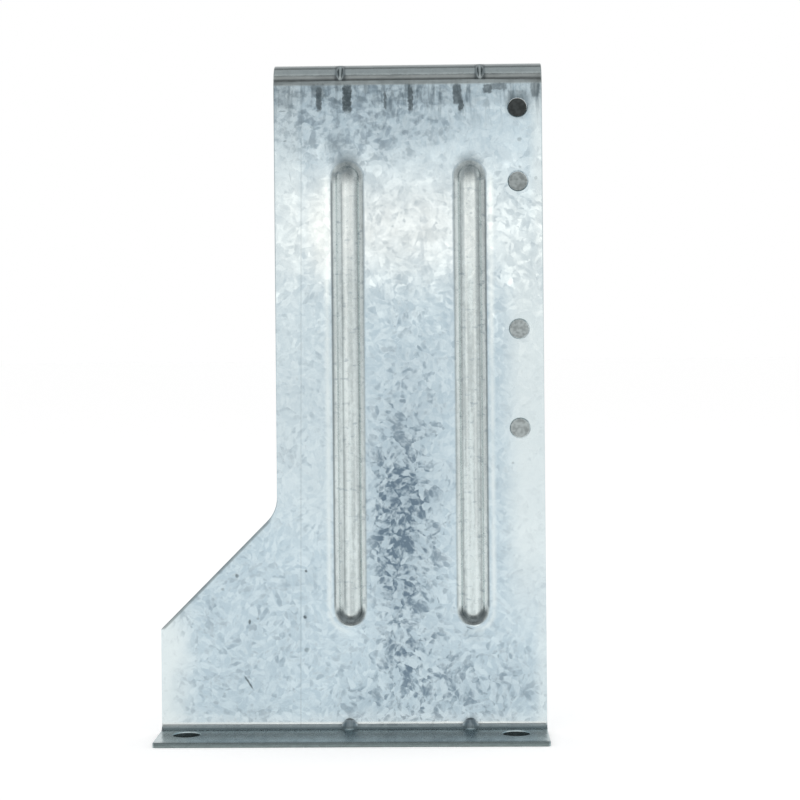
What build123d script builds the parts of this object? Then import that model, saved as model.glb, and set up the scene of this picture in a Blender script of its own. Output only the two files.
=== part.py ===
"""Stamped bracket: one piece of zinc-coated sheet, folded to a Z, with two pressed stiffening ribs.

The foot flange runs forward (-Y) from the bottom of an upright web, and the top flange runs back (+Y)
from its upper end. The web is wide at the foot and steps in along a 45 degree slope to the narrower
upper part. Two obround ribs are pressed back out of the web, and short darts are pressed across both
bends. Every rib and dart is formed on both faces, so the sheet keeps its thickness all over.

Origin: midway between the two screw holes of the foot, on its underside. +Z is up, -Y is the front.
"""

import os
from math import radians, sin, sqrt, tan

from build123d import *

# Sheet
thickness = 1.5
height = 200.0
base_width = 115.0
web_width = 80.0
foot_depth = 20.0
top_depth = 20.0
foot_bend = 2.0
top_bend = 5.0
flange_corner = 1.0
rollover = 0.3

# Step between the wide lower web and the narrow upper web
shoulder_height = 31.4
slope_angle = 45.0
shoulder_fillet = 10.0

# Holes
foot_hole = 8.0
foot_hole_left_edge = 8.5
foot_hole_right_edge = 9.5
foot_hole_setback = 8.0
web_hole = 5.6
web_hole_edge = 7.3
web_hole_drop = 13.8
web_hole_steps = (22.0, 44.0, 29.5)

# Ribs pressed out of the web
rib_pitch = 36.5
rib_width = 8.4
rib_length = 137.5
rib_start = 32.5
rib_depth = 1.8
rib_wall_angle = 45.0
rib_mouth_radius = 2.4
rib_floor_radius = 2.2

# Darts pressed across the bends
top_dart_leg = 4.4
top_dart_half_angle = 40.0
foot_dart_leg = 2.8
foot_dart_half_angle = 55.0
dart_inner_radius = 0.5
dart_blend = 0.8
foot_dart_pitch = 36.0
foot_dart_shift = -0.8
top_dart_pitch = 41.7
top_dart_shift = 0.8

# Positions that follow from the sizes above
foot_hole_pitch = base_width - foot_hole_left_edge - foot_hole_right_edge
web_front = foot_hole_setback
web_back = web_front + thickness
foot_front = web_front - foot_depth
top_back = web_front + top_depth
left = -foot_hole_pitch / 2 - foot_hole_left_edge
right = left + base_width
web_left = right - web_width
web_middle = right - web_width / 2
slope_top = shoulder_height + (base_width - web_width) * tan(radians(slope_angle))
rib_middle = rib_start + rib_length / 2
rib_wall_run = rib_depth / tan(radians(rib_wall_angle))
rib_back_grow = thickness * tan(radians(rib_wall_angle / 2))
dart_outer_radius = dart_inner_radius + thickness
web_middle_y = web_front + thickness / 2
web_hole_heights = [
    height - web_hole_drop - sum(web_hole_steps[:count]) for count in range(len(web_hole_steps) + 1)
]
through = foot_depth + top_depth


def faces_at(body, y):
    """Flat faces that look forward or back at one depth."""
    return body.faces().filter_by(Axis.Y).filter_by(lambda face: abs(face.center().Y - y) < 0.001)


def draw_front_line():
    """The sheet's front face in profile: foot, web and top flange in one line, with its bends."""
    return FilletPolyline(
        (foot_front, thickness),
        (web_front, thickness),
        (web_front, height),
        (top_back, height),
        radius=[foot_bend, top_bend + thickness],
    )


with BuildLine(Plane.YZ.offset(left)) as front_line:
    draw_front_line()
front_skin = Shell.extrude(front_line.wire(), (base_width, 0, 0))


def on_front(edge):
    """True for an edge whose middle lies on the sheet's front face."""
    return front_skin.distance_to(edge.position_at(0.5)) < 0.001


def pair(middle, pitch):
    """The two X positions of a pair set evenly about a middle."""
    return (middle - pitch / 2, middle + pitch / 2)


def dart_section(radius, angle, leg):
    """Wedge with a rounded tip along +Y, the centre of the round at the sketch's origin."""
    half_angle = radians(angle)
    tip = radius / sin(half_angle)
    root = tip - 4 * leg
    half_width = (tip - root) * tan(half_angle)
    with BuildSketch() as section:
        with BuildLine():
            Polyline((0, tip), (-half_width, root), (half_width, root), close=True)
        make_face()
        fillet(section.vertices().sort_by(Axis.Y)[-1], radius)
    return section.sketch


def dart_plane(x, y, z, side, leg):
    """Section plane of a dart in the bend whose inner faces meet at (y, z).

    side is +1 for a bend that opens back and down, and -1 for one that opens forward and up.
    """
    inward = Vector(0, side, -side).normalized()
    centre = Vector(x, y, z) + inward * (leg / sqrt(2) - dart_outer_radius)
    return Plane(origin=centre, x_dir=(1, 0, 0), z_dir=Vector(1, 0, 0).cross(inward))


def make_darts(planes, radius, angle, leg):
    """Bars of one rounded section laid across a bend at each plane."""
    section = dart_section(radius, angle, leg)
    with BuildPart() as bars:
        for plane in planes:
            with BuildSketch(plane):
                add(section)
            extrude(amount=4 * leg, both=True)
    return bars.part


foot_planes = [
    dart_plane(x, web_front, thickness, -1, foot_dart_leg)
    for x in pair(web_middle + foot_dart_shift, foot_dart_pitch)
]
top_planes = [
    dart_plane(x, web_back, height - thickness, 1, top_dart_leg)
    for x in pair(web_middle + top_dart_shift, top_dart_pitch)
]

# The open side of each bend, bounded by the middle of the sheet: it trims the raised side of the darts
with BuildPart() as foot_space:
    with BuildSketch(Plane.YZ.offset(left)):
        with BuildLine() as middle_line:
            FilletPolyline(
                (foot_front - through, thickness / 2),
                (web_middle_y, thickness / 2),
                (web_middle_y, height / 2),
                radius=[foot_bend + thickness / 2],
            )
            Polyline(middle_line.line @ 1, (foot_front - through, height / 2), middle_line.line @ 0)
        make_face()
    extrude(amount=base_width)
with BuildPart() as top_space:
    with BuildSketch(Plane.YZ.offset(left)):
        with BuildLine() as middle_line:
            FilletPolyline(
                (web_middle_y, height / 2),
                (web_middle_y, height - thickness / 2),
                (top_back + through, height - thickness / 2),
                radius=[top_bend + thickness / 2],
            )
            Polyline(middle_line.line @ 1, (top_back + through, height / 2), middle_line.line @ 0)
        make_face()
    extrude(amount=base_width)

foot_form = (foot_dart_half_angle, foot_dart_leg)
top_form = (top_dart_half_angle, top_dart_leg)
foot_ridges = make_darts(foot_planes, dart_outer_radius, *foot_form) & foot_space.part
top_ridges = make_darts(top_planes, dart_outer_radius, *top_form) & top_space.part
foot_grooves = make_darts(foot_planes, dart_inner_radius, *foot_form)
top_grooves = make_darts(top_planes, dart_inner_radius, *top_form)

with BuildPart() as bracket:
    # Folded strip, cut to the outline of the front view
    with BuildSketch(Plane.YZ.offset(left)):
        with BuildLine():
            draw_front_line()
            offset(amount=thickness, side=Side.RIGHT)
        make_face()
    extrude(amount=base_width)
    with BuildSketch(Plane.XZ) as outline:
        with BuildLine():
            Polyline(
                (left, 0),
                (right, 0),
                (right, height),
                (web_left, height),
                (web_left, slope_top),
                (left, shoulder_height),
                close=True,
            )
        make_face()
        inner_corner = outline.vertices().sort_by_distance((web_left, slope_top))[0]
        fillet(inner_corner, shoulder_fillet)
    extrude(amount=through, both=True, mode=Mode.INTERSECT)
    upright_edges = bracket.edges().filter_by(Axis.Z).sort_by(Axis.Y)
    fillet(upright_edges[:2] + upright_edges[-2:], flange_corner)

    # Rolled-over edge that shearing leaves all round the front face
    across = bracket.edges().filter_by(Axis.X).group_by(Axis.Y)
    rim = bracket.edges().filter_by(Axis.X, reverse=True) + across[0] + across[-1]
    fillet(rim.filter_by(on_front), rollover)

    # Ribs: raised on the back, recessed by the same amount in the front
    for y, grow, mode in ((web_back, rib_back_grow, Mode.ADD), (web_front, 0, Mode.SUBTRACT)):
        for x in pair(web_middle, rib_pitch):
            mouth = Plane(origin=(x, y, rib_middle), x_dir=(0, 0, 1), z_dir=(0, 1, 0))
            for depth, margin in ((0, grow), (rib_depth, grow - rib_wall_run)):
                with BuildSketch(mouth.offset(depth)):
                    SlotOverall(rib_length + 2 * margin, rib_width + 2 * margin)
            loft(mode=mode)
    for y, mouth_radius, floor_radius in (
        (web_back, rib_mouth_radius - thickness, rib_floor_radius + thickness),
        (web_front, rib_mouth_radius, rib_floor_radius),
    ):
        web_face = faces_at(bracket, y).sort_by(SortBy.AREA)[-1]
        fillet(web_face.inner_wires().edges(), mouth_radius)
        floors = faces_at(bracket, y + rib_depth).sort_by(SortBy.AREA)[:2]
        fillet(floors.edges(), floor_radius)

    # Darts: a ridge inside each bend and the groove behind it
    for form, mode in (
        (foot_ridges, Mode.ADD),
        (top_ridges, Mode.ADD),
        (foot_grooves, Mode.SUBTRACT),
        (top_grooves, Mode.SUBTRACT),
    ):
        add(form, mode=mode)
        fillet(bracket.edges(Select.NEW), dart_blend)

    # Screw holes in the foot, and the column of holes beside the web's right edge
    with BuildSketch():
        with GridLocations(foot_hole_pitch, 0, 2, 1):
            Circle(foot_hole / 2)
    extrude(amount=thickness, mode=Mode.SUBTRACT)
    with BuildSketch(Plane.XZ.offset(-web_front)):
        with Locations([(right - web_hole_edge, z) for z in web_hole_heights]):
            Circle(web_hole / 2)
    extrude(amount=-thickness, mode=Mode.SUBTRACT)
    mouths = bracket.edges().filter_by(GeomType.CIRCLE).filter_by(lambda edge: edge.is_closed)
    chamfer(mouths.filter_by(on_front), rollover)

bracket.part.label = "bracket"
os.makedirs("parts", exist_ok=True)
export_step(bracket.part, "parts/bracket.step")
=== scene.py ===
"""Looks for the stamped bracket: zinc-coated sheet with its spangle, shop marks and painted light and shade, and a
plain studio.
"""

from math import radians

import bpy
from mathutils import Euler, Matrix

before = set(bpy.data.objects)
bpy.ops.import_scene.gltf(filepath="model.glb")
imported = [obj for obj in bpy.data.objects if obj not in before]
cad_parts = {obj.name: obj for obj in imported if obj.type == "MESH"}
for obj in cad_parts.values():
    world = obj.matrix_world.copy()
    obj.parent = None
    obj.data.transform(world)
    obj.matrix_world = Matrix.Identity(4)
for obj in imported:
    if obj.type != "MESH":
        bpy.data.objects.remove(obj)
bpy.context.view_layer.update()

bl_info = {
    "name": "Stamped Bracket Finish",
    "version": (1, 0, 0),
    "blender": (4, 5, 0),
    "location": "View3D > Sidebar > Bracket",
    "description": "Zinc finish, shop marks and studio for a stamped sheet bracket",
    "category": "Material",
}

MM = 1000.0
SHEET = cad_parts["bracket"]

# Places on the sheet, in millimetres in the bracket's own frame
WEB_FRONT = 8.0
WEB_BACK = 9.5
FOOT_FRONT = -12.0
TOP_BACK = 28.0
FOOT_LEFT = -57.0
WEB_LEFT = -22.0
WEB_RIGHT = 58.0
SHOULDER_HEIGHT = 31.4
FOOT_TOP = 1.5
FOOT_BEND = 3.5
TOP_BEND = 193.5
RIB_X = (-0.25, 36.25)
RIB_HALF_WIDTH = 4.2
RIB_LOW = 32.5
RIB_HIGH = 170.0
TOP_DART_X = (-2.05, 39.65)
FOOT_DART_X = (-0.8, 35.2)
WEB_HOLE_X = 50.7
WEB_HOLE_Z = (186.2, 164.2, 120.2, 90.7)

# Discs of painted shade just behind the holes, glowing grey for the camera: their grey, and how much darker it is in
# the two upper ones, the top one under the top flange
SHADE_DISC_RADIUS = 3.6
SHADE_DISC_Y = 9.8
HOLE_SHADE_GREY = 0.36
TOP_HOLE_DARKER = 0.31
UPPER_HOLE_DARKER = 0.07

# Studio light: overall level, and what the front, the sides and the ceiling add to it
ROOM_LIGHT = 0.24
FRONT_GLOW = 0.76
LEFT_GLOW = 0.46
RIGHT_GLOW = 0.60
CEILING_GLOW = 0.3
FLOOR_LIFT = 0.33

# Lamps, the one overhead and the one near the camera: name, place, turn, width, depth, tint
LAMPS = [
    ("top_light", (0.0, -0.15, 1.3), (0.0, 0.0, 0.0), 0.9, 0.9, (1.0, 1.0, 1.0)),
    ("front_light", (0.0, -1.1, 0.223), (radians(90), 0.0, 0.0), 0.26, 0.09, (1.0, 0.86, 0.74)),
]


# ---------------------------------------------------------------- node helpers


def connect(tree, socket, value):
    """Links an output to a socket, or sets the socket to a plain value."""
    if isinstance(value, bpy.types.NodeSocket):
        tree.links.new(value, socket)
    else:
        socket.default_value = value


def make_node(tree, kind, inputs=None, **settings):
    """New node with its settings and its inputs, by name."""
    node = tree.nodes.new(kind)
    for name, value in settings.items():
        setattr(node, name, value)
    for name, value in (inputs or {}).items():
        connect(tree, node.inputs[name], value)
    return node


def calc(tree, operation, *values, clamp=False):
    """One Math node's result."""
    node = make_node(tree, "ShaderNodeMath", operation=operation, use_clamp=clamp)
    for socket, value in zip(node.inputs, values):
        connect(tree, socket, value)
    return node.outputs[0]


def vector_calc(tree, operation, *values, scale=None):
    """One Vector Math node's result, a number for a dot product and a vector for the rest."""
    node = make_node(tree, "ShaderNodeVectorMath", operation=operation)
    for socket, value in zip(node.inputs, values):
        connect(tree, socket, value)
    if scale is not None:
        connect(tree, node.inputs["Scale"], scale)
    return node.outputs["Value" if operation == "DOT_PRODUCT" else "Vector"]


def ramp(tree, value, start, end, low=0.0, high=1.0):
    """Smooth change from low to high as the value goes from start to end."""
    node = make_node(
        tree,
        "ShaderNodeMapRange",
        {"Value": value, "From Min": start, "From Max": end, "To Min": low, "To Max": high},
        interpolation_type="SMOOTHSTEP",
    )
    return node.outputs["Result"]


def mix(tree, factor, first, second):
    """Colour mix: first at factor 0, second at factor 1."""
    node = tree.nodes.new("ShaderNodeMix")
    node.data_type = "RGBA"
    connect(tree, node.inputs[0], factor)
    for socket, colour in ((node.inputs[6], first), (node.inputs[7], second)):
        connect(tree, socket, colour if isinstance(colour, bpy.types.NodeSocket) else (*colour, 1.0))
    return node.outputs[2]


def toned(colour, factor):
    """A colour made darker or lighter by a factor."""
    return tuple(min(channel * factor, 1.0) for channel in colour)


def group_tree(name, inputs, outputs):
    """New node group with named sockets, and its input and output nodes."""
    tree = bpy.data.node_groups.new(name, "ShaderNodeTree")
    for socket_name, kind, default in inputs:
        socket = tree.interface.new_socket(socket_name, in_out="INPUT", socket_type=kind)
        socket.default_value = default
    for socket_name, kind in outputs:
        tree.interface.new_socket(socket_name, in_out="OUTPUT", socket_type=kind)
    return tree, tree.nodes.new("NodeGroupInput"), tree.nodes.new("NodeGroupOutput")


def place_group(tree, group, **inputs):
    """Node that uses a group; half_size fills its input Half size, and so on."""
    node = make_node(tree, "ShaderNodeGroup", node_tree=group)
    for name, value in inputs.items():
        connect(tree, node.inputs[name.replace("_", " ").capitalize()], value)
    return node


FLOAT, VECTOR = "NodeSocketFloat", "NodeSocketVector"


def spangle_group():
    """Crystals of a zinc coat: cells with a shade of their own, each filled with slivers that lie one way."""
    tree, given, result = group_tree(
        "Zinc spangle",
        [
            ("Position", VECTOR, (0.0, 0.0, 0.0)),
            ("Grain size", FLOAT, 5.0),
            ("Sliver width", FLOAT, 1.0),
            ("Sliver length", FLOAT, 3.0),
        ],
        [("Grain", FLOAT), ("Sliver", FLOAT), ("Shard", FLOAT), ("Rim", FLOAT), ("Feather", FLOAT), ("Tilt", VECTOR)],
    )
    place, size = given.outputs["Position"], given.outputs["Grain size"]
    fineness = calc(tree, "DIVIDE", 1.0, size)
    wander = make_node(
        tree, "ShaderNodeTexNoise", {"Vector": place, "Scale": fineness, "Detail": 3.0}, noise_dimensions="3D"
    )
    sway = vector_calc(tree, "SUBTRACT", wander.outputs["Color"], (0.5, 0.5, 0.5))
    sway = vector_calc(tree, "SCALE", sway, scale=size)
    swayed = vector_calc(tree, "ADD", place, sway)
    cells = make_node(tree, "ShaderNodeTexVoronoi", {"Vector": swayed, "Scale": fineness}, voronoi_dimensions="3D")
    kept = make_node(tree, "ShaderNodeSeparateColor", {"Color": cells.outputs["Color"]})
    angle = calc(tree, "MULTIPLY", kept.outputs["Green"], radians(360))
    turned = make_node(
        tree, "ShaderNodeVectorRotate", {"Vector": place, "Angle": angle}, rotation_type="Y_AXIS"
    ).outputs["Vector"]
    shares = make_node(
        tree,
        "ShaderNodeCombineXYZ",
        {
            "X": given.outputs["Sliver width"],
            "Y": given.outputs["Sliver length"],
            "Z": given.outputs["Sliver length"],
        },
    )
    stretched = vector_calc(tree, "DIVIDE", turned, shares.outputs["Vector"])
    bent = make_node(tree, "ShaderNodeTexNoise", {"Vector": stretched, "Scale": 0.9, "Detail": 2.0})
    bend = vector_calc(tree, "SUBTRACT", bent.outputs["Color"], (0.5, 0.5, 0.5))
    bend = vector_calc(tree, "SCALE", bend, scale=0.6)
    slivers = make_node(
        tree,
        "ShaderNodeTexVoronoi",
        {"Vector": vector_calc(tree, "ADD", stretched, bend), "Scale": 1.0, "Smoothness": 0.5},
        voronoi_dimensions="3D",
        feature="SMOOTH_F1",
    )
    apart = make_node(tree, "ShaderNodeSeparateColor", {"Color": slivers.outputs["Color"]})
    feather = make_node(
        tree, "ShaderNodeTexNoise", {"Vector": stretched, "Scale": 2.2, "Detail": 3.0, "Roughness": 0.6}
    )
    lean = vector_calc(tree, "SUBTRACT", cells.outputs["Color"], (0.5, 0.5, 0.5))
    leaf = vector_calc(tree, "SUBTRACT", slivers.outputs["Color"], (0.5, 0.5, 0.5))
    connect(tree, result.inputs["Grain"], kept.outputs["Red"])
    connect(tree, result.inputs["Sliver"], apart.outputs["Red"])
    connect(tree, result.inputs["Shard"], apart.outputs["Blue"])
    connect(tree, result.inputs["Rim"], slivers.outputs["Distance"])
    connect(tree, result.inputs["Feather"], feather.outputs["Fac"])
    connect(tree, result.inputs["Tilt"], vector_calc(tree, "ADD", lean, leaf))
    return tree


def patch_group():
    """Soft-edged patch on the web: 1 inside, 0 outside, turned about its centre; a high power squares it."""
    tree, given, result = group_tree(
        "Soft patch",
        [
            ("Position", VECTOR, (0.0, 0.0, 0.0)),
            ("Centre", VECTOR, (0.0, 0.0, 0.0)),
            ("Half size", VECTOR, (1.0, 1.0, 1.0)),
            ("Turn", FLOAT, 0.0),
            ("Edge", FLOAT, 0.5),
            ("Power", FLOAT, 2.0),
        ],
        [("Mask", FLOAT)],
    )
    away = vector_calc(tree, "SUBTRACT", given.outputs["Position"], given.outputs["Centre"])
    turned = make_node(
        tree, "ShaderNodeVectorRotate", {"Vector": away, "Angle": given.outputs["Turn"]}, rotation_type="Y_AXIS"
    ).outputs["Vector"]
    shares = vector_calc(tree, "ABSOLUTE", vector_calc(tree, "DIVIDE", turned, given.outputs["Half size"]))
    # Dot products, because the unused output of a Separate XYZ node would fill the renderer's stack
    across = vector_calc(tree, "DOT_PRODUCT", shares, (1.0, 0.0, 0.0))
    upward = vector_calc(tree, "DOT_PRODUCT", shares, (0.0, 0.0, 1.0))
    power = given.outputs["Power"]
    reach = calc(tree, "ADD", calc(tree, "POWER", across, power), calc(tree, "POWER", upward, power))
    reach = calc(tree, "POWER", reach, calc(tree, "DIVIDE", 1.0, power))
    inner = calc(tree, "SUBTRACT", 1.0, given.outputs["Edge"])
    connect(tree, result.inputs["Mask"], ramp(tree, reach, 1.0, inner))
    return tree


def slot_group():
    """Distance from the outline of a rib, in millimetres: below 0 inside it, above 0 outside it."""
    tree, given, result = group_tree(
        "Rib outline",
        [("Position", VECTOR, (0.0, 0.0, 0.0)), ("Middle", FLOAT, 0.0)],
        [("Distance", FLOAT)],
    )
    parts = make_node(tree, "ShaderNodeSeparateXYZ", {"Vector": given.outputs["Position"]})
    aside = calc(tree, "SUBTRACT", parts.outputs["X"], given.outputs["Middle"])
    held = make_node(
        tree,
        "ShaderNodeClamp",
        {
            "Value": parts.outputs["Z"],
            "Min": RIB_LOW + RIB_HALF_WIDTH,
            "Max": RIB_HIGH - RIB_HALF_WIDTH,
        },
    )
    along = calc(tree, "SUBTRACT", parts.outputs["Z"], held.outputs["Result"])
    squares = calc(tree, "ADD", calc(tree, "MULTIPLY", aside, aside), calc(tree, "MULTIPLY", along, along))
    distance = calc(tree, "SUBTRACT", calc(tree, "SQRT", squares), RIB_HALF_WIDTH)
    connect(tree, result.inputs["Distance"], distance)
    return tree


# ---------------------------------------------------------------- zones and marks

# Zones of the web: middle x and z, half width, half height, softness of the edge, power that squares it
ZONES = {
    "core": (14.8, 61.0, 16.5, 47.0, 0.9, 2.6),
    "column": (18.0, 70.0, 16.0, 85.0, 0.5, 2.0),
    "lower": (24.0, 12.0, 46.0, 26.0, 0.7, 2.0),
    "upper": (2.0, 184.0, 46.0, 18.0, 0.6, 2.0),
    "far_low": (-34.0, 26.0, 30.0, 40.0, 0.6, 2.0),
    "left_column": (-12.0, 96.0, 13.0, 50.0, 0.5, 3.0),
    "flecked": (18.0, 98.0, 14.0, 20.0, 0.8, 2.0),
    # The next three zones hold painted light: a reflection band across the web, a highlight patch in it, and
    # reflection in the rib floors
    "reflection_band": (16.0, 151.0, 66.0, 30.0, 1.0, 2.4),
    "highlight_patch": (-7.6, 150.0, 7.5, 22.0, 0.9, 2.5),
    "shine": (16.0, 153.0, 60.0, 20.0, 0.6, 3.0),
}
# What each zone adds to the contrast between crystals, over the plain sheet's own, and to their gloom
CONTRAST = {"core": 0.44, "column": 0.28, "lower": 0.38, "upper": 0.22, "far_low": 0.16, "left_column": 0.14}
PLAIN_CONTRAST = 0.22
GLOOM = {"core": 0.37, "lower": 0.21, "upper": 0.33, "far_low": 0.12, "column": 0.06, "flecked": 0.10}

# Painted shade lines and painted highlight lines along the rib walls and floors: x, half width, strength
RIB_SHADE_LINES = [(-2.0, 0.22, 0.46), (2.65, 0.28, 0.36), (33.55, 0.24, 0.40), (38.9, 0.28, 0.40)]
RIB_HIGHLIGHT_LINES = [(-0.9, 0.35, 0.5), (1.6, 0.2, 0.45), (34.95, 0.2, 0.4), (37.45, 0.25, 0.4), (-3.5, 0.2, 0.3)]

# The lists below share their columns: x, z, half width, half height, turn in degrees, strength

# Dark scuffs that the folding tool leaves below the top bend
TOOL_MARKS = [
    (-8.4, 189.4, 0.95, 4.6, 0, 0.88),
    (-8.6, 191.6, 2.4, 2.4, 0, 0.50),
    (0.0, 189.3, 1.6, 4.9, 0, 0.97),
    (-2.6, 192.6, 1.3, 1.4, 0, 0.35),
    (5.6, 192.2, 1.2, 1.6, 0, 0.25),
    (11.3, 188.6, 0.45, 3.2, 0, 0.75),
    (13.8, 190.2, 0.5, 1.8, 0, 0.20),
    (18.9, 189.2, 0.9, 4.4, 0, 0.92),
    (18.6, 192.2, 1.8, 1.6, 0, 0.40),
    (32.8, 190.2, 1.6, 3.4, 3, 0.86),
    (33.9, 187.2, 0.9, 2.2, 0, 0.92),
    (41.9, 191.8, 1.7, 1.7, 0, 0.78),
    (45.4, 192.4, 2.8, 1.2, 0, 0.60),
    (50.6, 190.2, 3.2, 1.3, 0, 0.38),
    (56.0, 191.4, 1.5, 2.6, 0, 0.55),
    (-19.3, 190.0, 2.0, 4.4, 0, 0.20),
]
# Painted shade over the top ends of the ribs, where the recess walls face down, and a fainter patch above the left
# rib
RIB_END_SHADE = [
    (-0.25, 168.8, 6.0, 6.4, 0, 0.76),
    (36.25, 168.4, 5.6, 5.6, 0, 0.74),
    (-3.5, 176.0, 6.0, 5.0, 0, 0.22),
]
# Painted shade round the darts of the foot's bend
DART_SHADE = [(x, 1.4, 4.3, 4.6, 0, 0.46) for x in FOOT_DART_X]
# Painted shade on the rims of the round holes in the web, the top one most
HOLE_RIM_SHADE = [(WEB_HOLE_X, z, 3.4, 3.4, 0, 0.75 if z == max(WEB_HOLE_Z) else 0.35) for z in WEB_HOLE_Z]
# Scratches and dents with square ends, from handling
SCRATCHES = [
    (-30.9, 15.4, 0.36, 2.7, 33, 0.85),
    (35.2, 31.3, 0.22, 1.2, 72, 0.60),
    (-20.4, 189.4, 0.28, 4.2, 0, 0.40),
    (-19.4, 185.7, 1.4, 0.3, 0, 0.40),
    (-17.2, 166.0, 1.6, 0.2, 100, 0.18),
    (33.0, 82.0, 0.18, 1.6, 8, 0.30),
    (20.6, 27.6, 0.2, 1.5, 80, 0.30),
]
# Round specks and stains
SPECKS = [
    (-34.1, 47.2, 0.75, 0.75, 0, 0.75),
    (-13.5, 48.5, 0.55, 0.55, 0, 0.80),
    (-13.9, 34.8, 0.75, 0.70, 0, 0.80),
    (-30.4, 33.4, 0.50, 0.95, 0, 0.75),
    (-28.0, 34.4, 0.60, 0.50, 0, 0.40),
    (-13.4, 25.0, 1.10, 0.90, 20, 0.45),
    (-38.4, 43.2, 0.65, 0.60, 0, 0.40),
    (51.2, 176.6, 0.95, 0.90, 0, 0.36),
    (51.3, 168.4, 0.60, 0.50, 0, 0.25),
    (48.5, 80.3, 0.60, 0.50, 0, 0.30),
    (56.0, 165.0, 0.70, 0.80, 0, 0.25),
    (-2.0, 72.4, 0.60, 0.70, 0, 0.55),
    (-18.6, 176.8, 0.70, 0.35, 10, 0.45),
    # Painted shade round the top hole, under the top flange
    (50.7, 186.8, 4.9, 5.2, 0, 0.64),
    (36.6, 29.4, 5.0, 3.4, 0, 0.12),
]


def strongest(tree, masks):
    """The highest of several masks."""
    kept = masks[0]
    for mask in masks[1:]:
        kept = calc(tree, "MAXIMUM", kept, mask)
    return kept


def lay_patch(tree, group, place, shape, edge, power):
    """Mask of one soft patch; shape is x, z, half width, half height and turn."""
    x, z, half_width, half_height, turn = shape
    patch = place_group(
        tree,
        group,
        position=place,
        centre=(x, WEB_FRONT, z),
        half_size=(half_width, 1.0, half_height),
        turn=radians(turn),
        edge=edge,
        power=power,
    )
    return patch.outputs["Mask"]


def lay_marks(tree, group, place, marks, edge, power):
    """Mask of a list of marks, each at its own strength."""
    masks = []
    for *shape, strength in marks:
        mask = lay_patch(tree, group, place, shape, edge, power)
        masks.append(calc(tree, "MULTIPLY", mask, strength))
    return strongest(tree, masks)


# ---------------------------------------------------------------- settings


class ZincSettings(bpy.types.PropertyGroup):
    """Sizes and colours of the zinc finish."""

    grain_size: bpy.props.FloatProperty(
        name="Grain size", description="Width of one crystal of the coat", default=0.0042, unit="LENGTH"
    )
    sliver_width: bpy.props.FloatProperty(
        name="Sliver width", description="Width of the slivers in a crystal", default=0.0012, unit="LENGTH"
    )
    sliver_length: bpy.props.FloatProperty(
        name="Sliver length", description="Length of the slivers in a crystal", default=0.0023, unit="LENGTH"
    )
    pale: bpy.props.FloatVectorProperty(
        name="Pale zinc", description="Colour of the lightest crystals", subtype="COLOR", default=(0.62, 0.73, 0.778)
    )
    blue: bpy.props.FloatVectorProperty(
        name="Blue zinc", description="Colour of the middle crystals", subtype="COLOR", default=(0.475, 0.589, 0.653)
    )
    dark: bpy.props.FloatVectorProperty(
        name="Dark zinc", description="Colour of the darkest crystals", subtype="COLOR", default=(0.14, 0.20, 0.255)
    )
    worked: bpy.props.FloatVectorProperty(
        name="Worked zinc",
        description="Colour where the sheet was drawn or bent",
        subtype="COLOR",
        default=(0.615, 0.685, 0.68),
    )
    sheared: bpy.props.FloatVectorProperty(
        name="Sheared edge", description="Colour of the cut edges", subtype="COLOR", default=(0.19, 0.23, 0.23)
    )
    margin: bpy.props.FloatVectorProperty(
        name="Margin zinc",
        description="Colour of the plain zinc along the sides",
        subtype="COLOR",
        default=(0.745, 0.82, 0.825),
    )
    # Tint of the painted reflection band across the web
    reflection_tint: bpy.props.FloatVectorProperty(
        name="Reflection band",
        description="Colour of the pale band across the web",
        subtype="COLOR",
        default=(0.59, 0.64, 0.65),
    )
    # Painted highlights: the patch in the pale band, the rib walls and floors, the glint on the top bend and the line
    # above the foot
    burnished: bpy.props.FloatVectorProperty(
        name="Painted highlight",
        description="Colour of the painted highlights",
        subtype="COLOR",
        default=(0.74, 0.79, 0.78),
    )
    # The foot's dark top is painted shade, not a duller zinc
    foot: bpy.props.FloatVectorProperty(
        name="Foot zinc",
        description="Colour of the foot, darkened as painted shade",
        subtype="COLOR",
        default=(0.30, 0.36, 0.37),
    )
    grime: bpy.props.FloatVectorProperty(
        name="Grime",
        description="Colour of the rubbed zinc below the top bend",
        subtype="COLOR",
        default=(0.11, 0.15, 0.175),
    )
    # Colour of tool marks and stains, and of the painted shade in the ribs, on the bends, round the darts and holes
    marks_and_shade: bpy.props.FloatVectorProperty(
        name="Marks and shade", description="Colour of tool marks, stains and painted shade", subtype="COLOR", default=(0.06, 0.08, 0.09)
    )
    roughness: bpy.props.FloatProperty(
        name="Roughness", description="Roughness of the flat zinc", default=0.14, min=0.0, max=1.0
    )
    tilt: bpy.props.FloatProperty(
        name="Crystal tilt", description="How far the crystals lean", default=0.017, min=0.0, max=1.0
    )


class StageSettings(bpy.types.PropertyGroup):
    """Sizes of the studio and its camera."""

    lens: bpy.props.FloatProperty(name="Lens", description="Focal length of the camera, in mm", default=86.3)
    camera_place: bpy.props.FloatVectorProperty(
        name="Camera",
        description="Place of the camera",
        subtype="XYZ",
        unit="LENGTH",
        default=(0.0281, -0.5632, 0.1142),
    )
    camera_yaw: bpy.props.FloatProperty(
        name="Yaw", description="Turn of the camera to the left", subtype="ANGLE", default=radians(1.30)
    )
    camera_roll: bpy.props.FloatProperty(
        name="Roll", description="Turn of the camera about its own axis", subtype="ANGLE", default=radians(-0.509)
    )
    shift: bpy.props.FloatProperty(
        name="Shift", description="Vertical shift of the view, as a share of its width", default=-0.0625
    )
    floor_size: bpy.props.FloatProperty(
        name="Floor size", description="Side of the floor", default=40.0, unit="LENGTH"
    )
    top_light: bpy.props.FloatProperty(
        name="Top light", description="Power of the light overhead", default=1.6, unit="POWER"
    )
    front_light: bpy.props.FloatProperty(
        name="Front light", description="Power of the light near the camera", default=0.05, unit="POWER"
    )


# ---------------------------------------------------------------- materials


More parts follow.
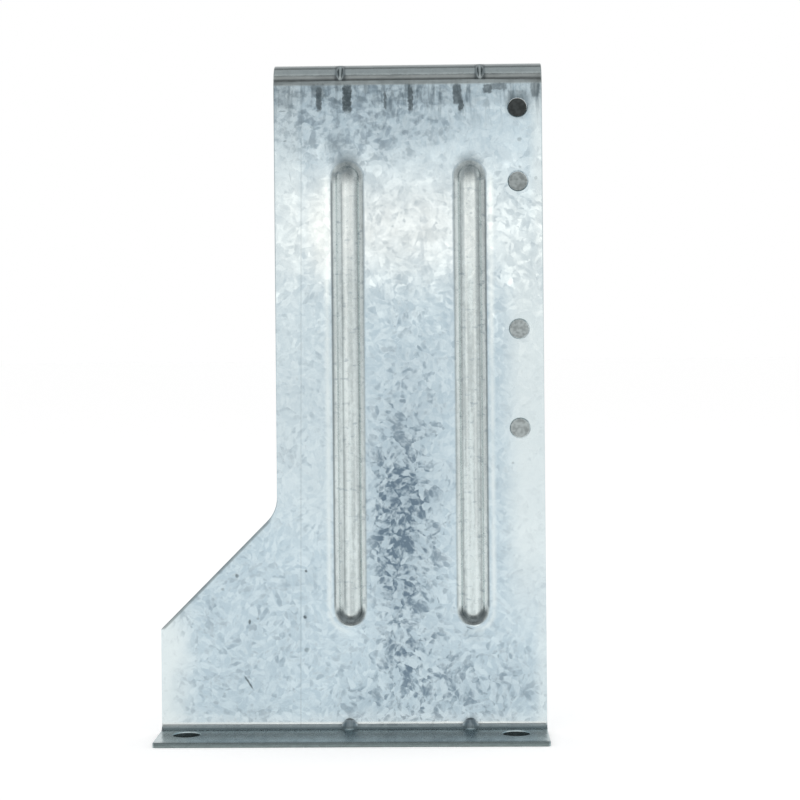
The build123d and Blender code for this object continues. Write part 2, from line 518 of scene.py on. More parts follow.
def band(tree, value, start, end, blur):
    """1 while the value lies between start and end, with blurred edges."""
    rise = ramp(tree, value, start - blur, start + blur)
    return calc(tree, "MULTIPLY", rise, ramp(tree, value, end + blur, end - blur))


def all_of(tree, *masks):
    """Product of several masks."""
    kept = masks[0]
    for mask in masks[1:]:
        kept = calc(tree, "MULTIPLY", kept, mask)
    return kept


def share(tree, mask, part):
    """A mask at part of its strength."""
    return calc(tree, "MULTIPLY", mask, part)


def total(tree, *masks):
    """Sum of several masks, held between 0 and 1."""
    kept = masks[0]
    for mask in masks[1:]:
        kept = calc(tree, "ADD", kept, mask, clamp=True)
    return kept


def noise(tree, place, scale, detail=2.0, roughness=0.5, stretch=None):
    """Cloudy noise between 0 and 1; stretch scales the place on each axis first."""
    if stretch is not None:
        place = vector_calc(tree, "MULTIPLY", place, stretch)
    node = make_node(
        tree, "ShaderNodeTexNoise", {"Vector": place, "Scale": scale, "Detail": detail, "Roughness": roughness}
    )
    return node.outputs["Fac"]


def noise_vector(tree, place, scale, reach):
    """Noise that pushes a place or a normal about, by half of reach at most."""
    node = make_node(tree, "ShaderNodeTexNoise", {"Vector": place, "Scale": scale, "Detail": 3.0})
    centred = vector_calc(tree, "SUBTRACT", node.outputs["Color"], (0.5, 0.5, 0.5))
    return vector_calc(tree, "SCALE", centred, scale=reach)


class SheetReader:
    """What the finish reads off the sheet: the place in millimetres, the way the face looks, and its clouds."""

    def __init__(self, tree):
        self.tree = tree
        self.patch = patch_group()
        coordinates = tree.nodes.new("ShaderNodeTexCoord")
        self.place = vector_calc(tree, "SCALE", coordinates.outputs["Object"], scale=MM)
        parts = make_node(tree, "ShaderNodeSeparateXYZ", {"Vector": self.place})
        self.x, self.y, self.z = (parts.outputs[axis] for axis in "XYZ")
        self.normal = tree.nodes.new("ShaderNodeNewGeometry").outputs["Normal"]
        facing = make_node(tree, "ShaderNodeSeparateXYZ", {"Vector": self.normal})
        self.face_x, self.face_y = (calc(tree, "ABSOLUTE", facing.outputs[axis]) for axis in "XY")
        self.backward = facing.outputs["Y"]
        self.front_face = ramp(tree, self.y, WEB_FRONT + 0.4, WEB_FRONT + 0.1)
        self.cloud = noise(tree, self.place, 0.07, 3.0)
        self.blotch = ramp(tree, noise(tree, self.place, 0.42, 4.0, 0.62), 0.3, 0.7)

    def zone(self, name):
        """Mask of one of the web's zones."""
        x, z, half_width, half_height, edge, power = ZONES[name]
        return lay_patch(self.tree, self.patch, self.place, (x, z, half_width, half_height, 0), edge, power)

    def marks(self, marks, edge, power, place=None):
        """Mask of a list of marks."""
        return lay_marks(self.tree, self.patch, place or self.place, marks, edge, power)

    def lines(self, lines, blur):
        """Mask of a list of upright lines."""
        tree = self.tree
        masks = [share(tree, band(tree, self.x, at - half, at + half, blur), part) for at, half, part in lines]
        return strongest(tree, masks)


def spangled_zinc(tree, sheet, crystals, sizes):
    """Crystals in three shades: strongest in the middle of the web and low on it, plainer along the sides."""
    x, z = sheet.x, sheet.z
    sliver, feather = crystals.outputs["Sliver"], crystals.outputs["Feather"]
    zones = {name: sheet.zone(name) for name in {**CONTRAST, **GLOOM}}
    contrast = total(tree, *(share(tree, zones[name], part) for name, part in CONTRAST.items()), PLAIN_CONTRAST)
    gloom = total(tree, *(share(tree, zones[name], part) for name, part in GLOOM.items()))

    mixed = share(tree, sliver, 0.42)
    for layer, part in (
        (crystals.outputs["Grain"], 0.22),
        (feather, 0.36),
        (sheet.blotch, 0.26),
        (crystals.outputs["Rim"], -0.16),
    ):
        mixed = calc(tree, "ADD", mixed, share(tree, layer, part))
    start = calc(tree, "SUBTRACT", 0.56, share(tree, gloom, 0.6))
    depth = all_of(tree, ramp(tree, mixed, start, calc(tree, "ADD", start, 0.42)), contrast)
    clouding = share(tree, calc(tree, "SUBTRACT", sheet.cloud, 0.42), 0.35)
    depth = calc(tree, "ADD", depth, clouding, clamp=True)
    depth = calc(tree, "ADD", depth, share(tree, gloom, 0.5), clamp=True)
    pale_share = calc(tree, "ADD", share(tree, crystals.outputs["Shard"], 0.5), share(tree, feather, 0.6))
    colour = mix(tree, ramp(tree, pale_share, 0.2, 0.9), sizes.blue, sizes.pale)

    # Plain, paler zinc along the sides of the sheet
    left_strip = all_of(tree, ramp(tree, x, WEB_LEFT + 9.5, WEB_LEFT + 6.0), ramp(tree, z, 55.0, 80.0))
    low_margin = ramp(tree, calc(tree, "ADD", x, share(tree, sheet.cloud, 10.0)), FOOT_LEFT + 17.0, FOOT_LEFT + 7.0)
    right_strip = all_of(
        tree,
        ramp(tree, x, WEB_RIGHT - 15.0, WEB_RIGHT - 6.0),
        ramp(tree, z, 165.0, 120.0),
        ramp(tree, z, 20.0, 60.0),
    )
    right_edge = ramp(tree, x, WEB_RIGHT - 5.0, WEB_RIGHT - 1.0)
    plain = strongest(
        tree,
        [
            share(tree, left_strip, 0.32),
            share(tree, zones["left_column"], 0.25),
            share(tree, low_margin, 0.85),
            share(tree, right_strip, 0.78),
            share(tree, right_edge, 0.55),
        ],
    )
    colour = mix(tree, plain, colour, sizes.margin)

    # Painted reflection, added to the front lamp's own: a pale band across the front of the web, and a painted
    # highlight patch in it
    reflection_band = all_of(tree, sheet.zone("reflection_band"), sheet.front_face)
    highlight_patch = all_of(tree, sheet.zone("highlight_patch"), sheet.front_face)
    paleness = ramp(tree, noise(tree, sheet.place, 0.22, 4.0, 0.62), 0.34, 0.66)
    reflection_tint = mix(tree, paleness, toned(sizes.reflection_tint, 0.82), toned(sizes.reflection_tint, 1.08))
    colour = mix(tree, share(tree, reflection_band, 0.7), colour, reflection_tint)
    depth = calc(tree, "MULTIPLY", depth, calc(tree, "SUBTRACT", 1.0, share(tree, plain, 0.6)))
    colour = mix(tree, depth, colour, sizes.dark)
    colour = mix(tree, share(tree, highlight_patch, 0.6), colour, sizes.burnished)
    return colour, reflection_band, zones["upper"]


def drawn_zinc(tree, sheet, colour, sizes):
    """Zinc drawn in the ribs: greyer, streaked along its length and without spangle, with painted shade and painted
    highlights along the walls and floors.
    """
    slot = slot_group()
    outlines = (place_group(tree, slot, position=sheet.place, middle=middle) for middle in RIB_X)
    near_rib = calc(tree, "MINIMUM", *(outline.outputs["Distance"] for outline in outlines))
    in_rib = ramp(tree, near_rib, 0.9, 0.1)
    streaks = noise(tree, sheet.place, 1.0, 1.0, stretch=(0.75, 0.75, 0.03))
    crumbs = noise(tree, sheet.place, 1.0, 3.0, 0.7, stretch=(0.9, 0.9, 0.5))
    drawn_shade = calc(tree, "ADD", share(tree, streaks, 0.6), share(tree, crumbs, 0.5))
    worked = mix(tree, ramp(tree, drawn_shade, 0.42, 0.68), toned(sizes.worked, 0.78), toned(sizes.worked, 1.10))
    # Painted reflection in the rib floors, inside the pale band
    shine = all_of(tree, sheet.zone("shine"), ramp(tree, near_rib, -2.0, -2.6))
    worked = mix(tree, share(tree, shine, 0.55), worked, sizes.burnished)
    # Painted highlights on the rib walls and along lines in the rib floors
    wall = band(tree, near_rib, -1.3, -0.2, 0.45)
    lit = strongest(tree, [share(tree, wall, 0.42), sheet.lines(RIB_HIGHLIGHT_LINES, 0.35)])
    worked = mix(tree, lit, worked, toned(sizes.burnished, 1.15))
    ticks = noise(tree, sheet.place, 1.0, 3.0, 0.6, stretch=(0.4, 0.4, 0.75))
    worked = mix(tree, ramp(tree, ticks, 0.55, 0.72, 0.0, 0.42), worked, sizes.dark)
    colour = mix(tree, share(tree, in_rib, 0.9), colour, worked)

    # Painted shade: dark lines at the mouth and the floor of the walls, dark arches at both ends, and a faint
    # darkening of the walls that face left
    rib_top = ramp(tree, sheet.z, RIB_HIGH - 6.5, RIB_HIGH - 3.0)
    rib_bottom = ramp(tree, sheet.z, RIB_LOW + 6.0, RIB_LOW + 3.0)
    straight = calc(tree, "SUBTRACT", 1.0, strongest(tree, [rib_top, rib_bottom]))
    off_middle = calc(tree, "ABSOLUTE", calc(tree, "SUBTRACT", sheet.x, sum(RIB_X) / 2))
    outer_side = ramp(tree, off_middle, 17.0, 20.0)
    mouth_depth = calc(tree, "ADD", 0.34, share(tree, outer_side, 0.34))
    mouth_line = all_of(tree, band(tree, near_rib, 0.2, 0.7, 0.3), straight, mouth_depth)
    # Painted shade lines along the rib walls and floors
    drawn = all_of(tree, sheet.lines(RIB_SHADE_LINES, 0.3), straight, in_rib)
    front_side = ramp(tree, sheet.backward, 0.1, -0.1)
    rib_end_shade = all_of(tree, sheet.marks(RIB_END_SHADE, 0.9, 2.2), front_side)
    top_arch = share(tree, all_of(tree, band(tree, near_rib, -1.8, 0.4, 1.1), rib_top), 0.62)
    bottom_arch = share(tree, all_of(tree, band(tree, near_rib, -2.0, 0.15, 0.55), rib_bottom), 0.84)
    to_right = strongest(tree, [band(tree, sheet.x, middle, middle + 6.0, 0.8) for middle in RIB_X])
    wall_shade = share(tree, all_of(tree, band(tree, near_rib, -2.2, 0.5, 0.4), to_right), 0.08)
    rib_shade = strongest(tree, [mouth_line, drawn, top_arch, rib_end_shade, bottom_arch, wall_shade])
    colour = mix(tree, rib_shade, colour, sizes.marks_and_shade)

    # Paler margin beside the outer walls
    low_side = calc(tree, "MAXIMUM", straight, share(tree, rib_bottom, 0.8))
    patchy = ramp(tree, sheet.cloud, 0.3, 0.6, 0.45, 0.85)
    halo = all_of(tree, band(tree, near_rib, 1.5, 2.6, 0.8), low_side, outer_side, patchy)
    return mix(tree, halo, colour, sizes.margin), in_rib


def top_bend_zinc(tree, sheet, colour, upper, sizes):
    """The top bend: streaked below where the tool slid and darker towards the bend, with painted shade on the bend, a
    painted highlight along it, a pressed line darkened partly as painted shade, and painted shade over the darts and
    the crest.
    """
    z = sheet.z
    before_bend = ramp(tree, z, TOP_BEND - 17.5, TOP_BEND - 1.5)
    drags = ramp(tree, noise(tree, sheet.place, 1.0, 3.0, 0.6, stretch=(0.55, 0.55, 0.10)), 0.46, 0.70)
    drags = all_of(tree, drags, before_bend, ramp(tree, sheet.y, WEB_BACK + 1.5, WEB_BACK - 0.5))
    smudges = all_of(tree, ramp(tree, noise(tree, sheet.place, 0.42, 4.0, 0.6), 0.48, 0.66), upper)
    # Darker towards the top bend
    near_bend_darkening = calc(tree, "ADD", share(tree, sheet.blotch, 0.6), 0.4)
    near_bend_darkening = all_of(tree, ramp(tree, z, TOP_BEND - 7.5, TOP_BEND - 3.5), near_bend_darkening)
    worn = total(tree, share(tree, drags, 0.55), share(tree, smudges, 0.28), share(tree, near_bend_darkening, 0.34))
    colour = mix(tree, worn, colour, sizes.grime)

    on_bend = all_of(
        tree,
        ramp(tree, z, TOP_BEND - 0.6, TOP_BEND + 0.2),
        ramp(tree, sheet.y, WEB_BACK + 5.5, WEB_BACK + 3.5),
        ramp(tree, sheet.backward, 0.2, 0.0),
    )
    # Painted shade on the bend, and a painted highlight along it
    colour = mix(tree, share(tree, on_bend, 0.85), colour, toned(sizes.worked, 0.49))
    glint = all_of(tree, band(tree, z, TOP_BEND + 1.7, TOP_BEND + 2.6, 0.35), on_bend)
    colour = mix(tree, share(tree, glint, 0.42), colour, sizes.burnished)

    # A pressed line along the bend, darkened partly as painted shade; painted shade at the crest and over the darts,
    # and darker patches
    broken = ramp(tree, noise(tree, sheet.place, 1.0, 3.0, stretch=(0.12, 0.0, 0.0)), 0.3, 0.6)
    pressed = all_of(tree, band(tree, z, TOP_BEND + 1.2, TOP_BEND + 1.8, 0.45), on_bend, total(tree, broken, 0.45))
    crest = all_of(tree, ramp(tree, z, TOP_BEND + 2.7, TOP_BEND + 3.7), on_bend)
    patchy = noise(tree, sheet.place, 1.0, 3.0, 0.6, stretch=(0.09, 0.25, 0.25))
    patchy = all_of(tree, ramp(tree, patchy, 0.45, 0.68), on_bend)
    off_dart = (calc(tree, "ABSOLUTE", calc(tree, "SUBTRACT", sheet.x, middle)) for middle in TOP_DART_X)
    off_dart = calc(tree, "MINIMUM", *off_dart)
    lobes = share(tree, band(tree, off_dart, 0.5, 1.6, 0.4), 0.55)
    grooves = total(tree, lobes, share(tree, ramp(tree, off_dart, 3.2, 1.2), 0.55))
    grooves = all_of(tree, grooves, ramp(tree, z, TOP_BEND + 0.5, TOP_BEND + 1.7), on_bend)
    bend_shade_and_marks = strongest(
        tree,
        [share(tree, pressed, 0.22), share(tree, crest, 0.40), share(tree, grooves, 0.72), share(tree, patchy, 0.26)],
    )
    return mix(tree, bend_shade_and_marks, colour, sizes.marks_and_shade)


def foot_zinc(tree, sheet, colour, sizes):
    """The foot: painted shade on its top and in the bend, a painted highlight line above the bend, and painted shade
    round the darts.
    """
    y, z = sheet.y, sheet.z
    at_web = ramp(tree, y, WEB_FRONT + 0.3, WEB_FRONT + 0.1)
    # Painted shade on the top of the foot, lighter towards its front edge
    foot_top = all_of(tree, ramp(tree, z, FOOT_TOP + 1.3, FOOT_TOP + 0.7), at_web)
    foot_light = ramp(tree, y, WEB_FRONT - 2.0, WEB_FRONT - 12.0, -0.05, 0.5)
    foot_light = calc(tree, "ADD", share(tree, noise(tree, sheet.place, 0.5, 3.0), 0.8), foot_light)
    foot_shade = mix(tree, foot_light, sizes.foot, toned(sizes.foot, 1.5))
    colour = mix(tree, share(tree, foot_top, 0.92), colour, foot_shade)

    # Painted shade in the bend and on the darts
    in_bend = all_of(
        tree,
        ramp(tree, y, WEB_FRONT - 2.8, WEB_FRONT - 1.6),
        at_web,
        ramp(tree, z, FOOT_TOP + 1.2, FOOT_TOP + 0.4),
    )
    beside_dart = strongest(tree, [band(tree, sheet.x, middle - 1.9, middle + 1.9, 0.9) for middle in FOOT_DART_X])
    on_dart = all_of(
        tree,
        beside_dart,
        ramp(tree, y, WEB_FRONT - 0.03, WEB_FRONT - 0.15),
        ramp(tree, z, FOOT_TOP + 0.1, FOOT_TOP + 0.5),
        ramp(tree, z, FOOT_BEND + 3.5, FOOT_BEND + 3.0),
    )
    foot_bend_shade = strongest(tree, [share(tree, in_bend, 0.80), share(tree, on_dart, 0.64)])
    colour = mix(tree, foot_bend_shade, colour, sizes.marks_and_shade)

    # Painted highlight on the web just above the foot and along the start of the bend
    above_foot = all_of(
        tree,
        ramp(tree, z, FOOT_BEND + 4.5, FOOT_BEND + 0.5),
        ramp(tree, z, FOOT_BEND - 0.3, FOOT_BEND),
        ramp(tree, y, WEB_FRONT - 0.06, WEB_FRONT - 0.02),
        sheet.front_face,
    )
    crease = all_of(
        tree,
        band(tree, z, FOOT_BEND - 0.8, FOOT_BEND + 0.1, 0.4),
        ramp(tree, y, WEB_FRONT - 0.25, WEB_FRONT - 0.1),
        sheet.front_face,
        calc(tree, "SUBTRACT", 1.0, beside_dart),
    )
    foot_highlight = strongest(tree, [share(tree, above_foot, 0.2), share(tree, crease, 0.75)])
    colour = mix(tree, foot_highlight, colour, sizes.burnished)
    # Painted shade round the darts
    above_sheet = ramp(tree, z, FOOT_TOP + 0.2, FOOT_TOP + 0.6)
    dart_shade = all_of(tree, sheet.marks(DART_SHADE, 0.55, 1.6), above_sheet, sheet.front_face)
    return mix(tree, dart_shade, colour, sizes.marks_and_shade), foot_top, above_foot


def marks_and_hole_shade(tree, sheet):
    """Mask of the tool marks, scratches and specks, with broken edges, and of the painted shade round the holes."""
    frayed = vector_calc(tree, "ADD", sheet.place, noise_vector(tree, sheet.place, 1.1, 1.3))
    nicked = vector_calc(tree, "ADD", sheet.place, noise_vector(tree, sheet.place, 1.1, 0.5))
    marks = strongest(
        tree,
        [
            sheet.marks(TOOL_MARKS, 0.35, 6.0, frayed),
            sheet.marks(SCRATCHES, 0.5, 4.0, nicked),
            sheet.marks(SPECKS, 0.6, 2.0, nicked),
            sheet.marks(HOLE_RIM_SHADE, 0.2, 2.0),
        ],
    )
    uneven = ramp(tree, noise(tree, sheet.place, 0.8, 3.0, 0.6), 0.3, 0.6, 0.75, 1.0)
    marks = all_of(tree, marks, uneven, sheet.front_face)

    # Fine flecks all over, and a faint guide line down the left of the front
    flecks = make_node(tree, "ShaderNodeTexVoronoi", {"Vector": sheet.place, "Scale": 0.16}, voronoi_dimensions="3D")
    chosen = make_node(tree, "ShaderNodeSeparateColor", {"Color": flecks.outputs["Color"]})
    fleck = all_of(
        tree,
        ramp(tree, flecks.outputs["Distance"], 0.075, 0.03),
        ramp(tree, chosen.outputs["Green"], 0.62, 0.96),
    )
    guide_x = calc(tree, "ADD", sheet.x, share(tree, sheet.z, -0.0093))
    guide_line = share(tree, band(tree, guide_x, -15.6, -15.3, 0.25), 0.18)
    return strongest(tree, [marks, share(tree, fleck, 0.5), all_of(tree, guide_line, sheet.front_face)])


def bare_edges(tree, sheet, colour, sizes):
    """Bare steel on the cut edges, with painted shade on the foot's front rim, and darker on the rolled edge of the
    slope.
    """
    cut_web = all_of(
        tree,
        ramp(tree, sheet.face_y, 0.4, 0.2),
        band(tree, sheet.y, WEB_FRONT + 0.1, WEB_BACK - 0.1, 0.05),
        ramp(tree, sheet.z, FOOT_BEND + 0.1, FOOT_BEND + 0.5),
        ramp(tree, sheet.z, TOP_BEND + 1.5, TOP_BEND + 0.5),
    )
    cut_side = ramp(tree, sheet.face_x, 0.85, 0.95)
    cut_front = ramp(tree, sheet.y, FOOT_FRONT + 0.25, FOOT_FRONT + 0.1)
    cut_back = ramp(tree, sheet.y, TOP_BACK - 0.25, TOP_BACK - 0.1)
    cut = strongest(tree, [cut_web, cut_side, cut_front, cut_back])
    grit = noise(tree, sheet.place, 1.0, 3.0, stretch=(0.35, 1.0, 2.0))
    bare = mix(tree, grit, toned(sizes.sheared, 0.7), toned(sizes.sheared, 1.5))
    colour = mix(tree, cut, colour, bare)

    # Painted shade on the foot's rounded front rim
    front_rim = all_of(
        tree,
        ramp(tree, sheet.y, FOOT_FRONT + 2.8, FOOT_FRONT + 0.6),
        ramp(tree, sheet.z, FOOT_TOP - 1.0, FOOT_TOP - 0.6),
    )
    colour = mix(tree, share(tree, front_rim, 0.42), colour, sizes.marks_and_shade)
    into_slope = calc(tree, "SUBTRACT", calc(tree, "SUBTRACT", sheet.x, sheet.z), FOOT_LEFT - SHOULDER_HEIGHT)
    rolled = all_of(
        tree,
        ramp(tree, into_slope, 1.5, 0.8),
        ramp(tree, sheet.x, WEB_LEFT - 1.0, WEB_LEFT - 3.0),
        ramp(tree, sheet.z, SHOULDER_HEIGHT - 0.4, SHOULDER_HEIGHT + 0.6),
    )
    return mix(tree, share(tree, rolled, 0.6), colour, toned(sizes.sheared, 0.6)), cut


def zinc_material(sizes):
    """Zinc coat of the whole sheet."""
    material = bpy.data.materials.new("zinc_coated_steel")
    material.use_nodes = True
    tree = material.node_tree
    tree.nodes.clear()
    sheet = SheetReader(tree)
    crystals = place_group(
        tree,
        spangle_group(),
        position=sheet.place,
        grain_size=sizes.grain_size * MM,
        sliver_width=sizes.sliver_width * MM,
        sliver_length=sizes.sliver_length * MM,
    )
    colour, reflection_band, upper = spangled_zinc(tree, sheet, crystals, sizes)
    colour, in_rib = drawn_zinc(tree, sheet, colour, sizes)
    colour = top_bend_zinc(tree, sheet, colour, upper, sizes)
    colour, foot_top, above_foot = foot_zinc(tree, sheet, colour, sizes)
    marks = marks_and_hole_shade(tree, sheet)
    colour = mix(tree, marks, colour, sizes.marks_and_shade)
    colour, cut = bare_edges(tree, sheet, colour, sizes)

    roughness = calc(tree, "ADD", share(tree, crystals.outputs["Sliver"], 0.10), sizes.roughness - 0.05)
    worn = strongest(tree, [marks, foot_top, cut, in_rib])
    roughness = calc(tree, "ADD", roughness, share(tree, worn, 0.12))

    # Crystals lean a little, the sheet swells a little, and the web turns up just above the foot
    calm = calc(tree, "SUBTRACT", 1.0, share(tree, reflection_band, 0.5))
    lean = vector_calc(tree, "SCALE", crystals.outputs["Tilt"], scale=share(tree, calm, sizes.tilt))
    lean = vector_calc(tree, "ADD", lean, noise_vector(tree, sheet.place, 0.16, 0.05))
    upturn = make_node(tree, "ShaderNodeCombineXYZ", {"X": 0.0, "Y": 0.0, "Z": share(tree, above_foot, 0.09)})
    lean = vector_calc(tree, "ADD", lean, upturn.outputs["Vector"])
    normal = vector_calc(tree, "NORMALIZE", vector_calc(tree, "ADD", sheet.normal, lean))

    shader = make_node(
        tree,
        "ShaderNodeBsdfPrincipled",
        {"Base Color": colour, "Roughness": roughness, "Normal": normal, "Metallic": 1.0},
    )
    output = tree.nodes.new("ShaderNodeOutputMaterial")
    tree.links.new(shader.outputs["BSDF"], output.inputs["Surface"])
    return material


def floor_material():
    """Pale floor, with a painted shadow where the foot stands on it, that shows as white where it is seen."""
    material = bpy.data.materials.new("studio_floor")
    material.use_nodes = True
    tree = material.node_tree
    tree.nodes.clear()
    ray = tree.nodes.new("ShaderNodeLightPath")
    seen = calc(tree, "MAXIMUM", ray.outputs["Is Camera Ray"], ray.outputs["Is Glossy Ray"])
    seen = calc(tree, "MAXIMUM", seen, ray.outputs["Is Transmission Ray"])
    coordinates = tree.nodes.new("ShaderNodeTexCoord")
    place = vector_calc(tree, "SCALE", coordinates.outputs["Object"], scale=MM)
    parts = make_node(tree, "ShaderNodeSeparateXYZ", {"Vector": place})
    under_foot = all_of(
        tree,
        band(tree, parts.outputs["X"], FOOT_LEFT + 3.0, WEB_RIGHT - 3.0, 1.0),
        band(tree, parts.outputs["Y"], FOOT_FRONT + 3.0, WEB_FRONT - 2.0, 1.0),
    )
    paint_with_shadow = mix(tree, under_foot, (0.9, 0.9, 0.9), (0.06, 0.07, 0.07))
    open_floor = calc(tree, "SUBTRACT", 1.0, under_foot)
    matt = make_node(tree, "ShaderNodeBsdfDiffuse", {"Color": paint_with_shadow})
    lift = make_node(tree, "ShaderNodeEmission", {"Strength": all_of(tree, seen, open_floor, FLOOR_LIFT)})
    both = tree.nodes.new("ShaderNodeAddShader")
    tree.links.new(matt.outputs["BSDF"], both.inputs[0])
    tree.links.new(lift.outputs["Emission"], both.inputs[1])
    output = tree.nodes.new("ShaderNodeOutputMaterial")
    tree.links.new(both.outputs["Shader"], output.inputs["Surface"])
    return material


def shade_material():
    """Painted shade seen through the holes: discs that glow grey for camera rays from the front only, darker in the
    upper holes, the top one under the top flange.
    """
    material = bpy.data.materials.new("painted_hole_shade")
    material.use_nodes = True
    tree = material.node_tree
    tree.nodes.clear()
    coordinates = tree.nodes.new("ShaderNodeTexCoord")
    place = vector_calc(tree, "SCALE", coordinates.outputs["Object"], scale=MM)
    parts = make_node(tree, "ShaderNodeSeparateXYZ", {"Vector": place})
    z = parts.outputs["Z"]
    top_hole = ramp(tree, z, 172.0, 178.0)
    mottle = ramp(tree, noise(tree, place, 0.9, 3.0), 0.35, 0.65, 0.8, 1.25)
    upper_hole = all_of(tree, ramp(tree, z, 140.0, 150.0), ramp(tree, z, 176.0, 172.0))
    grey = calc(tree, "SUBTRACT", HOLE_SHADE_GREY, share(tree, top_hole, TOP_HOLE_DARKER))
    grey = calc(tree, "SUBTRACT", grey, share(tree, upper_hole, UPPER_HOLE_DARKER))
    seen = tree.nodes.new("ShaderNodeLightPath").outputs["Is Camera Ray"]
    glow = make_node(
        tree,
        "ShaderNodeEmission",
        {"Color": (0.90, 1.0, 1.0, 1.0), "Strength": calc(tree, "MULTIPLY", grey, mottle)},
    )
    clear = tree.nodes.new("ShaderNodeBsdfTransparent")
    behind = tree.nodes.new("ShaderNodeNewGeometry").outputs["Backfacing"]
    shown = calc(tree, "MULTIPLY", seen, calc(tree, "SUBTRACT", 1.0, behind))
    both = make_node(tree, "ShaderNodeMixShader", {"Fac": shown})
    tree.links.new(clear.outputs["BSDF"], both.inputs[1])
    tree.links.new(glow.outputs["Emission"], both.inputs[2])
    output = tree.nodes.new("ShaderNodeOutputMaterial")
    tree.links.new(both.outputs["Shader"], output.inputs["Surface"])
    return material


def studio_world():
    """Plain soft light with a bright front for the sheet to mirror, and white where the camera looks."""
    world = bpy.data.worlds.new("studio")
    bpy.context.scene.world = world
    world.use_nodes = True
    tree = world.node_tree
    tree.nodes.clear()
    coordinates = tree.nodes.new("ShaderNodeTexCoord")
    parts = make_node(tree, "ShaderNodeSeparateXYZ", {"Vector": coordinates.outputs["Generated"]})
    front = calc(tree, "MULTIPLY", parts.outputs["Y"], -1.0)
    beside = calc(tree, "ABSOLUTE", parts.outputs["X"])
    near = ramp(tree, front, 0.87, 0.99)
    side = ramp(tree, beside, 0.22, 0.50)
    rightward = ramp(tree, parts.outputs["X"], -0.3, 0.3, LEFT_GLOW, RIGHT_GLOW)
    above = ramp(tree, parts.outputs["Z"], 0.46, 0.70)
    back = ramp(tree, front, -0.3, -0.6)
    light = calc(tree, "ADD", share(tree, near, FRONT_GLOW), calc(tree, "MULTIPLY", side, rightward))
    light = calc(tree, "ADD", light, share(tree, above, CEILING_GLOW))
    light = calc(tree, "ADD", light, ROOM_LIGHT)
    ray = tree.nodes.new("ShaderNodeLightPath")
    shown = calc(tree, "MAXIMUM", ray.outputs["Is Glossy Ray"], ray.outputs["Is Transmission Ray"])
    shown = calc(tree, "MULTIPLY", shown, back)
    shown = calc(tree, "MAXIMUM", shown, ray.outputs["Is Camera Ray"])
    strength = calc(tree, "MAXIMUM", light, shown)
    background = make_node(
        tree, "ShaderNodeBackground", {"Color": (1.0, 1.0, 1.0, 1.0), "Strength": strength}
    )
    output = tree.nodes.new("ShaderNodeOutputWorld")
    tree.links.new(background.outputs["Background"], output.inputs["Surface"])


# ---------------------------------------------------------------- operators


class BRACKET_OT_coat_sheet(bpy.types.Operator):
    """Give the folded sheet its zinc coat, shop marks, painted light and shade, and bare cut edges"""

    bl_idname = "bracket.coat_sheet"
    bl_label = "Coat the sheet"

    def execute(self, context):
        material = zinc_material(context.scene.zinc_finish)
        for slot in SHEET.material_slots:
            slot.material = material
        return {"FINISHED"}


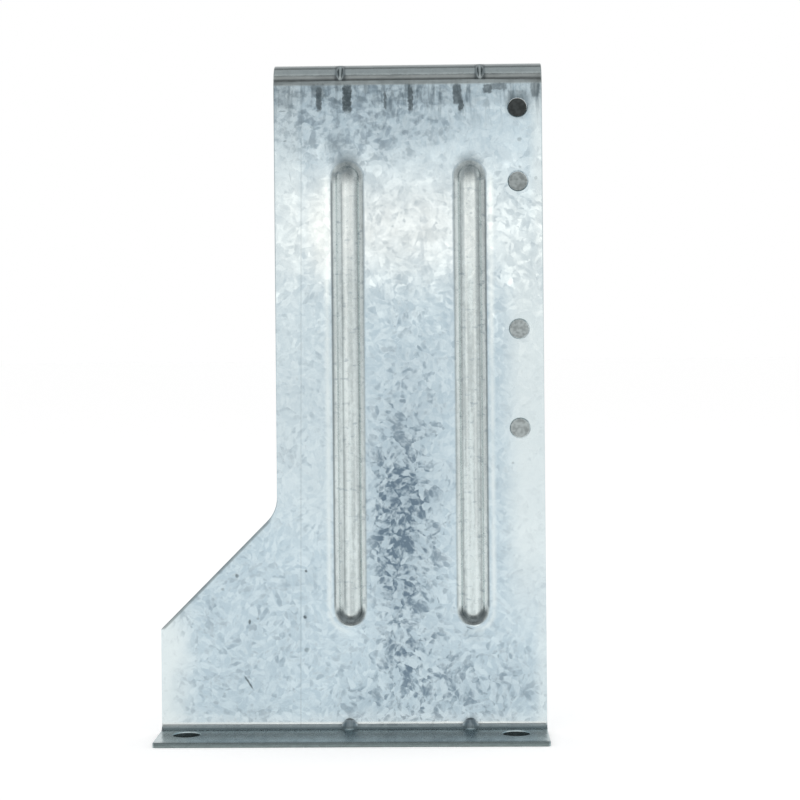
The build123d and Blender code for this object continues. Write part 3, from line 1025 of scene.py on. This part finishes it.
class BRACKET_OT_set_stage(bpy.types.Operator):
    """Lay the floor and set the studio light"""

    bl_idname = "bracket.set_stage"
    bl_label = "Set the stage"

    def execute(self, context):
        settings = context.scene.bracket_stage
        bpy.ops.object.select_all(action="DESELECT")
        bpy.ops.mesh.primitive_plane_add(size=settings.floor_size, location=(0.0, 0.0, 0.0))
        floor = context.object
        floor.name = "floor"
        floor.data.materials.append(floor_material())
        studio_world()
        hole_shade_material = shade_material()
        # Discs of painted shade behind the holes
        for count, height in enumerate(WEB_HOLE_Z, start=1):
            bpy.ops.mesh.primitive_circle_add(
                vertices=32,
                radius=SHADE_DISC_RADIUS / MM,
                fill_type="NGON",
                location=(WEB_HOLE_X / MM, SHADE_DISC_Y / MM, height / MM),
                rotation=(radians(90), 0.0, 0.0),
            )
            disc = context.object
            disc.name = f"painted_hole_shade_{count}"
            bpy.ops.object.transform_apply(location=True, rotation=True, scale=True)
            disc.data.materials.append(hole_shade_material)
        for (name, place, turn, width, depth, tint), power in zip(LAMPS, (settings.top_light, settings.front_light)):
            bpy.ops.object.light_add(type="AREA", location=place, rotation=turn)
            lamp = context.object
            lamp.name = name
            lamp.data.shape = "RECTANGLE"
            lamp.data.size = width
            lamp.data.size_y = depth
            lamp.data.energy = power
            lamp.data.color = tint
            lamp.visible_camera = False
        return {"FINISHED"}


class BRACKET_OT_set_camera(bpy.types.Operator):
    """Set the camera square to the web, a little above its middle"""

    bl_idname = "bracket.set_camera"
    bl_label = "Set the camera"

    def execute(self, context):
        settings = context.scene.bracket_stage
        bpy.ops.object.camera_add(location=settings.camera_place)
        camera = context.object
        camera.name = "camera"
        turn = Euler((radians(90), 0.0, settings.camera_yaw)).to_matrix() @ Matrix.Rotation(
            settings.camera_roll, 3, "Z"
        )
        camera.rotation_euler = turn.to_euler()
        camera.data.lens = settings.lens
        camera.data.sensor_width = 36.0
        camera.data.shift_y = settings.shift
        camera.data.clip_start = 0.01
        camera.data.clip_end = 50.0
        context.scene.camera = camera
        return {"FINISHED"}


class BRACKET_PT_finish(bpy.types.Panel):
    """Finish and studio of the bracket"""

    bl_idname = "BRACKET_PT_finish"
    bl_label = "Stamped Bracket"
    bl_space_type = "VIEW_3D"
    bl_region_type = "UI"
    bl_category = "Bracket"

    def draw(self, context):
        for settings in (context.scene.zinc_finish, context.scene.bracket_stage):
            box = self.layout.box()
            for name in settings.__annotations__:
                box.prop(settings, name)
        for operator in OPERATORS:
            self.layout.operator(operator.bl_idname)


SETTINGS = (ZincSettings, StageSettings)
OPERATORS = (BRACKET_OT_set_camera, BRACKET_OT_coat_sheet, BRACKET_OT_set_stage)


def register():
    for item in (*SETTINGS, *OPERATORS, BRACKET_PT_finish):
        bpy.utils.register_class(item)
    bpy.types.Scene.zinc_finish = bpy.props.PointerProperty(type=ZincSettings)
    bpy.types.Scene.bracket_stage = bpy.props.PointerProperty(type=StageSettings)


def unregister():
    del bpy.types.Scene.bracket_stage
    del bpy.types.Scene.zinc_finish
    for item in reversed((*SETTINGS, *OPERATORS, BRACKET_PT_finish)):
        bpy.utils.unregister_class(item)


def main():
    register()
    bpy.context.scene.view_settings.view_transform = "Standard"
    bpy.ops.bracket.set_camera()
    bpy.ops.bracket.coat_sheet()
    bpy.ops.bracket.set_stage()


if __name__ == "__main__":
    main()
